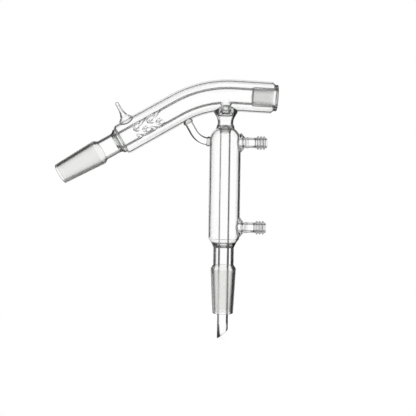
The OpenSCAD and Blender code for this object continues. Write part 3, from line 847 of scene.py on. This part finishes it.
# %% [markdown]
# ## The column's vacuum jacket
# The space between the two tubes was pumped empty through a side tube, which was then drawn off in
# the flame. The jacket has a rounded shoulder at its foot and a hole under that sealed tip.

# %% The column's vacuum jacket
VACUUM_WALL, SHOULDER_ROUND, SHOULDER_REACH = 1.6, 3.7, 87.72
TIP_S, TIP_BORE_R, TIP_WINDOW = -48.7, 5.95, 8.2
# The underside of the tip's foot is a cone through the jacket's wall, between these radii
TIP_UNDER_R, TIP_FOOT_R = 6.6, 7.25


def column_outline(inset):
    """One skin of the jacket, with its rounded shoulder."""
    turn = arc((JACKET_R - SHOULDER_ROUND, SHOULDER_REACH), SHOULDER_ROUND - inset, 60, 0, 8)
    return [(COLUMN_FOOT_R - inset, COLUMN_SEAL_S)] \
        + [(r, BEND_REACH - reach) for r, reach in turn] + [(JACKET_R - inset, 0.0)]


def column_face(x):
    """Height of the column's wall over its line, at x to the side."""
    return sqrt(JACKET_R ** 2 - x ** 2)


def tip_gap(r, x, y):
    share = (r - TIP_UNDER_R) / (TIP_FOOT_R - TIP_UNDER_R)
    return JACKET_BORE_R + share * VACUUM_WALL - column_face(x)


tip_ring = meeting(TIP_BORE_R, TIP_FOOT_R + 0.15, tip_gap)


def tip_loop(radius, wall_r):
    """A round hole seen along the tip, as places (s, phi) on a wall of the column."""
    def loop(angle):
        r = at_angle(radius, angle)
        return TIP_S + r * sin(angle), asin(r * cos(angle) / wall_r)
    return loop


spots = stations_of(COLUMN_SEAL_S, (-58.5, 0.35), (-38, 1.0), (0, 1.6))
walled("column_jacket", bent, (column_outline(0), column_outline(VACUUM_WALL)), spots, [
    window(TIP_S, 0, TIP_WINDOW, JACKET_R,
        [(tip_loop(tip_ring, JACKET_R), JACKET, 3), (tip_loop(TIP_BORE_R, JACKET_R), FUSED, 2)],
        [(tip_loop(TIP_BORE_R, JACKET_BORE_R), JACKET, 5)])], holes=JACKET)

# %% [markdown]
# ## The sealed tip
# Glass that is drawn off in a flame thins out in a trumpet curve and closes in a small round end.
# The same kind of curve makes its outside and its inside, so the wall gets thicker to the end.

# %% The sealed tip
TIP_TOP, TIP_END_R, TIP_POWER, TIP_STEPS, TIP_FLARE_S = 33.6, 1.75, 3.6, 18, 15.1
# So many points of the skin belong to the foot, whose painted edge shade is softer than the tip's
TIP_FOOT_POINTS = 6
tip_base = bent(TIP_S, 0, 0)
column_up = (bent(TIP_S, 1, 0) - tip_base).normalized()
column_ahead = (bent(TIP_S + 1, 0, 0) - tip_base).normalized()


def on_tip(s, r, phi):
    side = r * cos(phi) * SIDEWAYS + r * sin(phi) * column_ahead
    return tip_base + s * column_up + side


foot_ring, hole_ring = [fitted(r, lambda x, y: column_face(x)) for r in (tip_ring, TIP_BORE_R)]
skin = [foot_ring, (7.2, 15.05)] + flare(TIP_FOOT_R, TIP_FLARE_S, TIP_END_R, TIP_TOP - TIP_END_R,
    TIP_STEPS, TIP_POWER)[1:] + arc((0, TIP_TOP - TIP_END_R), TIP_END_R, 0, 90, 6)[1:-1] \
    + [(0, TIP_TOP)]
bore = [(0, TIP_TOP - 2.9), (0.3, TIP_TOP - 3.2)] + flare(TIP_BORE_R, TIP_FLARE_S, 0.45,
    TIP_TOP - 3.6, TIP_STEPS, TIP_POWER)[::-1] + [hole_ring]
turned("evacuation_tip", on_tip, [
    (JACKET, skin[:TIP_FOOT_POINTS]), (BOLD, skin[TIP_FOOT_POINTS - 1:]), (JACKET, bore),
    (FUSED, [hole_ring, foot_ring])], TUBE_SIDES)

# %% [markdown]
# ## The column with its inward points
# A glassblower heats a spot of the tube and presses it in with a carbon rod, slanting down. Each
# point here pushes the wall's rings inwards and down the column along the same slant. The push
# fades out from the middle of the spot to its rim, as soft glass gives way. No two come out alike,
# so each has its own depth and its own small shift.

# %% The column with its inward points
DENT_ROWS, DENTS_IN_ROW, DENT_START, DENT_PITCH = 4, 3, 18.8, 7.6
DENT_LEAN, DENT_REACH, DENT_MOUTH = radians(42), 6.3, 3.7
DENT_SHIFT, DENT_DEPTHS = 0.5, 0.09
# On the bore the push sits lower, is wider and goes less deep, which keeps the wall's thickness
BORE_PUSH = (1.26, 0.75, 0.7)
dents = []
for number in range(DENT_ROWS * DENTS_IN_ROW):
    row, i = divmod(number, DENTS_IN_ROW)
    shift = DENT_SHIFT * sin(2.1 * number + 0.6)
    depth = 1 + DENT_DEPTHS * sin(3.7 * number)
    dents.append((-(DENT_START + DENT_PITCH * row) + shift,
        2 * pi * (i + row / 2) / DENTS_IN_ROW, depth))


def dented(s, r, phi):
    """A point of the column's wall, pushed in where a dent is."""
    lower, wider, less = BORE_PUSH if r < (TUBE_R + TUBE_BORE_R) / 2 else (0, 0, 0)
    push = Vector((0, 0, 0))
    for at, turn, depth in dents:
        aside = remainder(phi - turn, 2 * pi) * TUBE_R
        away = hypot(aside, s - at + lower) / (DENT_MOUTH + wider)
        if away < 1:
            inward = bent(s, 0, 0) - bent(s, 1, turn)
            down = bent(s - 1, 0, 0) - bent(s, 0, 0)
            slant = cos(DENT_LEAN) * inward + sin(DENT_LEAN) * down
            push += depth * (DENT_REACH - less) * (1 - away ** 2) ** 2 * slant
    return bent(s, r, phi) + push


spots = stations_of(COLUMN_SEAL_S, (-51, 1.5), (-13, 0.5), (0, 1.6))
walled("vigreux_tube", dented, [[(r, COLUMN_SEAL_S), (r, 0)] for r in (TUBE_R, TUBE_BORE_R)],
    spots, finish=INNER)

# %% [markdown]
# ## The bent head and its jacket
# The inner tube and the vacuum jacket follow the same bend. Both have an opening underneath, over
# the condenser, where the vapour turns down.

# %% The head's vacuum jacket
# Distances from the corner of the line to the end of the jacket and to the socket
HEAD_REACH, SOCKET_REACH = 67.1, 45.5
LEG_END = BEND_LENGTH + HEAD_REACH - BEND_REACH
SOCKET_S = BEND_LENGTH + SOCKET_REACH - BEND_REACH
HEAD_END_R, NECK_HOLE_R, NECK_TOP_R, NECK_WINDOW = 12.4, 9.4, 9.6, 11.9
SADDLE_R, SADDLE_RIM_Z, SADDLE_RISE = 11.4, 149.372, 8.6


def under(x, y, radius):
    """Where the upright line at (x, y) meets the underside of a bent tube, as (s, phi)."""
    phi = pi - asin(y / radius)
    reach = BEND_R + radius * cos(phi)
    tilt = asin((x - BEND_CENTRE.x) / reach)
    if tilt <= LEG_DROP:
        return BEND_R * (tilt + DROP), phi
    sunk = x - BEND_END.x - radius * cos(phi) * sin(LEG_DROP)
    return BEND_LENGTH + sunk / cos(LEG_DROP), phi


def height_under(x, y, tube_r):
    s, turn = under(x, y, tube_r)
    return bent(s, tube_r, turn).z


def underside(radius, tube_r):
    return fitted(radius, lambda x, y: height_under(x, y, tube_r))


def under_loop(radius, tube_r):
    """A round hole seen from below, as places on the wall. The angle starts towards -Y."""
    def loop(angle):
        r = at_angle(radius, angle - pi / 2)
        return under(r * sin(angle), -r * cos(angle), tube_r)
    return loop


def saddle_gap(r, x, y):
    """How far the jacket's underside lies above the slanting side of the neck's seal."""
    rise = (SADDLE_R - r) / (SADDLE_R - NECK_HOLE_R) * SADDLE_RISE
    return height_under(x, y, JACKET_R) - (SADDLE_RIM_Z + rise)


saddle_ring = meeting(NECK_HOLE_R, SADDLE_R, saddle_gap)


def head_outline(inset):
    """One skin of the head's jacket, with its chamfered end."""
    wall_r, end_r = JACKET_R - inset, HEAD_END_R - inset
    return [(wall_r, 0.0), (wall_r, LEG_END - 3.6), (wall_r - 0.15, LEG_END - 3.1),
        (wall_r - 0.5, LEG_END - 2.6), (end_r + 0.35, LEG_END - 0.45), (end_r, LEG_END)]


neck_s, _ = under(0, 0, JACKET_R)
spots = stations_of(0, (neck_s - 12, 1.6), (neck_s + 12, 1.1), (LEG_END - 4, 1.6),
    (LEG_END, 0.3))
walled("head_jacket", bent, (head_outline(0), head_outline(VACUUM_WALL)), spots, [
    window(neck_s, pi, NECK_WINDOW, JACKET_R,
        [(under_loop(saddle_ring, JACKET_R), JACKET, 2),
            (under_loop(NECK_HOLE_R, JACKET_R), FUSED, 2)],
        [(under_loop(NECK_HOLE_R, JACKET_BORE_R), JACKET, 3)])], holes=FUSED)

# %% [markdown]
# ## The tube inside the head
# The vapour's way goes on from the dented column, round the same bend, to the thermometer socket.
# Its opening underneath is the mouth of the spout that leads down to the condenser.

# %% The head's inner tube
SPOUT_R, SPOUT_WALL, SPOUT_WINDOW = 6.4, 1.2, 7.0
SPOUT_BORE_R = SPOUT_R - SPOUT_WALL
spots = stations_of(0, (neck_s - 8, 1.6), (neck_s + 8, 0.8), (SOCKET_S, 1.6))
walled("vapour_tube", bent, [[(r, 0), (r, SOCKET_S)] for r in (TUBE_R, TUBE_BORE_R)], spots, [
    window(neck_s, pi, SPOUT_WINDOW, TUBE_R,
        [(under_loop(SPOUT_R, TUBE_R), INNER, 2), (under_loop(SPOUT_BORE_R, TUBE_R), FUSED, 2)],
        [(under_loop(SPOUT_BORE_R, TUBE_BORE_R), INNER, 3)])], finish=INNER)

# %% [markdown]
# ## The thermometer socket and its rim
# The bore narrows inwards and is ground, so it looks matt from outside as well. The rim is a
# thick ring of clear glass that the socket and the vacuum jacket are both fused to. It is drawn
# grey all through, as painted shade.

# %% The socket and the rim
SOCKET_R, MOUTH_R = 9.2, 7.7
# The ground zone of the bore, from its wide end near the mouth to its narrow end
taper = [(7.25, LEG_END - 2.6), (6.25, SOCKET_S + 1.4)]
turned("thermometer_socket", bent, [
    fused(SOCKET_S, TUBE_BORE_R, TUBE_R),
    (CLEAR, [(TUBE_R, SOCKET_S), (8.25, SOCKET_S + 0.25), (9.0, SOCKET_S + 1.15)]
        + straight(SOCKET_R, SOCKET_S + 1.5, LEG_END)),
    fused(LEG_END, SOCKET_R, MOUTH_R),
    (CLEAR, [(MOUTH_R, LEG_END), taper[0]]), (SOCKET, finely(taper)),
    (CLEAR, [taper[1], (TUBE_BORE_R, SOCKET_S)])])

RIM_H, RIM_R, RIM_ROUND = 2.498, 12.5, 0.9
rim_top = LEG_END + RIM_H - RIM_ROUND
turned("socket_rim", bent, [
    fused(LEG_END, MOUTH_R, SOCKET_R),
    (THICK, [(SOCKET_R, LEG_END), (10.8, LEG_END)]),
    fused(LEG_END, 10.8, 11.6),
    (THICK, arc((RIM_R - RIM_ROUND, LEG_END + RIM_ROUND), RIM_ROUND, -90, 0, 8)
        + arc((RIM_R - RIM_ROUND, rim_top), RIM_ROUND, 0, 90, 8)
        + arc((MOUTH_R + RIM_ROUND, rim_top), RIM_ROUND, 90, 180, 8) + [(MOUTH_R, LEG_END)])])

# %% [markdown]
# ## The neck between head and condenser
# The vapour leaves through a spout inside the vacuum jacket. Jacket, spout and neck are melted
# into one thick saddle. Below it the neck narrows and widens again to the condenser's seal.

# %% The spout, the saddle seal and the neck
SPOUT_FOOT_Z, SPOUT_WAIST_Z, SPOUT_TOP_Z = 148.247, 153.612, 157.497
SPOUT_FOOT_R, SPOUT_WAIST_R = 8.2, 4.6
NECK_FOOT_R, NECK_WAIST_R, NECK_WAIST_Z, NECK_WALL, NECK_TOP_BORE_R = 8.4, 7.4, 138.797, 1.5, 8.1
NECK_FOOT_BORE_R = NECK_FOOT_R - NECK_WALL


def spout_radius(z):
    share = min(1, max(0, (z - SPOUT_FOOT_Z) / (SPOUT_WAIST_Z - SPOUT_FOOT_Z)))
    return SPOUT_WAIST_R + (SPOUT_FOOT_R - SPOUT_WAIST_R) * (1 - share) ** 2


def spout_crossing(phi):
    """Height at which the spout comes up through the inner face of the vacuum jacket."""
    def gap(z):
        r = spout_radius(z)
        return z - height_under(r * cos(phi), r * sin(phi), JACKET_BORE_R)
    return bisect(SPOUT_FOOT_Z, SPOUT_TOP_Z, gap)


crossing = (lambda phi: spout_radius(spout_crossing(phi)), spout_crossing)
lower = flare(SPOUT_FOOT_R, SPOUT_FOOT_Z, SPOUT_WAIST_R, SPOUT_WAIST_Z)
upper = flare(SPOUT_R, SPOUT_TOP_Z, SPOUT_WAIST_R, SPOUT_WAIST_Z)[::-1]
# So many points of the spout lie inside the seal
sunk = lower[:7]
outer_top, inner_top = underside(SPOUT_R, TUBE_R), underside(SPOUT_BORE_R, TUBE_R)
inside = [(r - SPOUT_WALL, z) for r, z in (lower + upper[1:])[::-1]]
turned("vapour_spout", upright, [
    (FUSED, [inside[-1], sunk[0]]), (FUSED, sunk + [crossing]),
    (CLEAR, [crossing] + upper + [outer_top]), (FUSED, [outer_top, inner_top]),
    (CLEAR, [inner_top] + inside)], NECK_SIDES)

hole_low, hole_high = underside(NECK_HOLE_R, JACKET_R), underside(NECK_HOLE_R, JACKET_BORE_R)
saddle = underside(saddle_ring, JACKET_R)
turned("neck_seal", upright, [
    fused(SADDLE_Z, NECK_TOP_BORE_R, NECK_TOP_R),
    (SEAL, [(NECK_TOP_R, SADDLE_Z), (10.3, SADDLE_Z + 1.2), (11.0, SADDLE_Z + 2.3),
        (SADDLE_R, SADDLE_RIM_Z), saddle]),
    (FUSED, [saddle, hole_low, hole_high]),
    (SEAL, [hole_high] + [underside(r, JACKET_BORE_R) for r in (8.2, 7.0, 6.0)] + [crossing]),
    (FUSED, [crossing] + sunk[::-1] + [inside[-1]]),
    (SEAL, [inside[-1], (NECK_TOP_BORE_R, SADDLE_Z)])], NECK_SIDES)

neck = flare(NECK_FOOT_R, NECK_Z, NECK_WAIST_R, NECK_WAIST_Z) \
    + flare(NECK_TOP_R, SADDLE_Z, NECK_WAIST_R, NECK_WAIST_Z)[::-1][1:]
neck_inside = [(r - NECK_WALL, z) for r, z in neck[::-1]]
turned("neck_tube", upright, [
    (CLEAR, neck), (FUSED, [neck[-1], neck_inside[0]]), (CLEAR, neck_inside),
    (FUSED, [neck_inside[-1], neck[0]])], NECK_SIDES)

# %% [markdown]
# ## The seal at the top of the condenser
# Neck, dome and condenser tube meet here. Inside, a funnel leads the vapour into the narrow tube.

# %% The seal at the top of the condenser
under_funnel = flare(DOME_TOP_BORE_R, DOME_TOP_Z, CORE_R, FUNNEL_Z)
in_funnel = flare(NECK_FOOT_BORE_R, NECK_Z, CORE_BORE_R, FUNNEL_Z + 1.1)
turned("condenser_top_seal", upright, [
    fused(NECK_Z, NECK_FOOT_BORE_R, NECK_FOOT_R),
    (SEAL, [(NECK_FOOT_R, NECK_Z), (8.35, NECK_Z - 0.5), (8.6, NECK_Z - 1.4),
        (DOME_TOP_R, DOME_TOP_Z)]),
    fused(DOME_TOP_Z, DOME_TOP_R, DOME_TOP_BORE_R),
    (SEAL, under_funnel), (FUSED, [under_funnel[-1], (CORE_BORE_R, FUNNEL_Z)]),
    (SEAL, [(CORE_BORE_R, FUNNEL_Z)] + in_funnel[::-1])], NECK_SIDES)

# %% [markdown]
# ## The support bridge
# A bent glass rod stiffens the piece where the column would put its weight on the neck. Each end
# is pressed flat against a jacket, which leaves a small disc of melted glass.

# %% The support bridge
ROD_R, PAD_R, PAD_H = 3.75, 4.8, 2.7
BRIDGE_SLOPE, BRIDGE_REACH, BRIDGE_DROP = radians(8), 26.5, 0.4
# The rod leaves the column at a right angle, runs straight and then turns in one arc. The length
# of the straight and the radius of the arc follow from where it has to end
rod_out = Vector((sin(DROP), 0, -cos(DROP)))
rod_in = in_plane(-BRIDGE_SLOPE)
rod_from = CORNER - BRIDGE_REACH * in_plane(DROP) + JACKET_R * rod_out
rod_to = Vector((-JACKET_R, 0, DOME_Z - BRIDGE_DROP))
rest = rod_to - rod_from - PAD_H * rod_in
side = Vector((cos(DROP) - sin(BRIDGE_SLOPE), 0, sin(DROP) - cos(BRIDGE_SLOPE)))
scale = rod_out.x * side.z - rod_out.z * side.x
rod_run = (rest.x * side.z - rest.z * side.x) / scale
rod_r = (rod_out.x * rest.z - rod_out.z * rest.x) / scale
rod_turn = pi / 2 - DROP - BRIDGE_SLOPE
rod_centre = rod_from + rod_run * rod_out + rod_r * in_plane(DROP)
rod_length = rod_run - PAD_H + rod_r * rod_turn


def along_rod(s, r, phi):
    """A point round the rod, at the distance s from its start on the upper disc."""
    across = in_plane(DROP + min(max((s + PAD_H - rod_run) / rod_r, 0), rod_turn))
    on_line = rod_from + (PAD_H + s) * rod_out
    if s + PAD_H > rod_run:
        on_line = rod_centre - rod_r * across
    return on_line + r * cos(phi) * across + r * sin(phi) * SIDEWAYS


turned("support_bridge", along_rod, [
    fused(0, 0, ROD_R), (BOLD, straight(ROD_R, 0, rod_length, 1.0)),
    fused(rod_length, ROD_R, 0)], ROD_SIDES)


def line_distance(point):
    """Distance of a point from the bent line, on the bend or on the column."""
    flat = Vector((point.x - BEND_CENTRE.x, 0, point.z - BEND_CENTRE.z))
    if atan2(flat.x, flat.z) > -DROP:
        return hypot(flat.length - BEND_R, point.y)
    ahead, away = in_plane(DROP), point - BEND_START
    return (away - away.dot(ahead) * ahead).length


def pad(name, origin, ahead, clear_of):
    """A disc whose foot follows the glass that it is pressed on. clear_of grows away from it."""
    across = Vector((-ahead.z, 0, ahead.x))

    def on_pad(s, r, phi):
        return origin + s * ahead + r * cos(phi) * across + r * sin(phi) * SIDEWAYS

    def foot(radius):
        return radius, lambda phi: bisect(-3.0, 1.5, lambda s: clear_of(on_pad(s, radius, phi)))
    foot_rim, (_, height) = foot(PAD_R - 0.5), foot(0.01)
    turned(name, on_pad, [
        (SEAL, [(0, height(0)), foot(2.4), foot_rim]),
        (SEAL, [foot_rim, (PAD_R - 0.1, 0.45), (PAD_R, 0.9), (PAD_R - 0.05, 1.5),
            (PAD_R - 0.4, PAD_H - 0.3), (ROD_R, PAD_H)]),
        fused(PAD_H, ROD_R, 0)], ROD_SIDES)


# The discs stay this far off the jackets
AIR = 0.02
pad("bridge_top_pad", rod_from, rod_out, lambda p: line_distance(p) - JACKET_R - AIR)
pad("bridge_low_pad", rod_to, -rod_in,
    lambda p: hypot(p.x, p.y) - radius_at(jacket_outside, p.z) - AIR)

# %% [markdown]
# ## The two boxes
# The looks never change the size: the box of the finished piece has to stay in the box of the CAD
# model. Both boxes are printed.

# %% Sizes
seen_box = [list(corner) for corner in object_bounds()]
for title, box in (("CAD", cad_box), ("seen", seen_box)):
    print(title, "box:", [[round(c / MM, 1) for c in corner] for corner in box])
